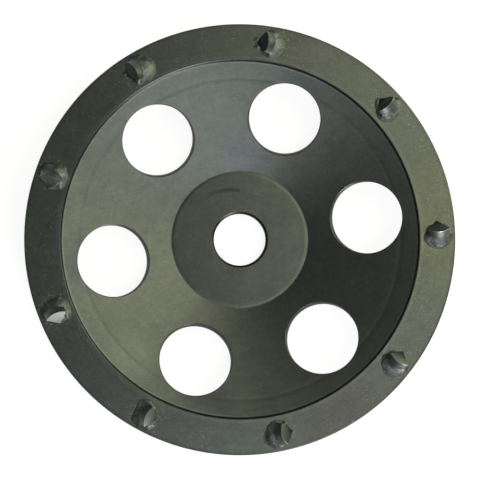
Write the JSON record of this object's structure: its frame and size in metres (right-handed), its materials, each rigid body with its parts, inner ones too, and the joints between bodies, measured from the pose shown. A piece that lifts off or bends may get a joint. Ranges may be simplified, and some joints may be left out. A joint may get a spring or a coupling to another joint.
{
  "type": "diamond cup wheel",
  "caption": "Round steel grinding cup with a flat rim, a sloping holed web, a centre bore and brazed quarter-round diamond cutters.",
  "frame": {"origin": "centre of the bore at the hub's back face, which is the bottom of the part as it rests", "axes": "+Z along the wheel's axis towards its working face; +X and +Y lie in the plane of the rim, as in the picture"},
  "size_m": [0.18, 0.18, 0.0238],
  "materials": {
    "body_steel": "blackened turned steel, semi-matt",
    "carbide": "ground cemented carbide",
    "diamond": "lapped polycrystalline diamond",
    "braze": "silver braze, rough and stained"
  },
  "bodies": {
    "root": {"cup_body": "body_steel", "carbide_base_1": "carbide", "diamond_table_1": "diamond", "braze_1": "braze", "carbide_base_2": "carbide", "diamond_table_2": "diamond", "braze_2": "braze", "carbide_base_3": "carbide", "diamond_table_3": "diamond", "braze_3": "braze", "carbide_base_4": "carbide", "diamond_table_4": "diamond", "braze_4": "braze", "carbide_base_5": "carbide", "diamond_table_5": "diamond", "braze_5": "braze", "carbide_base_6": "carbide", "diamond_table_6": "diamond", "braze_6": "braze", "carbide_base_7": "carbide", "diamond_table_7": "diamond", "braze_7": "braze", "carbide_base_8": "carbide", "diamond_table_8": "diamond", "braze_8": "braze", "carbide_base_9": "carbide", "diamond_table_9": "diamond", "braze_9": "braze"}
  },
  "joints": []
}
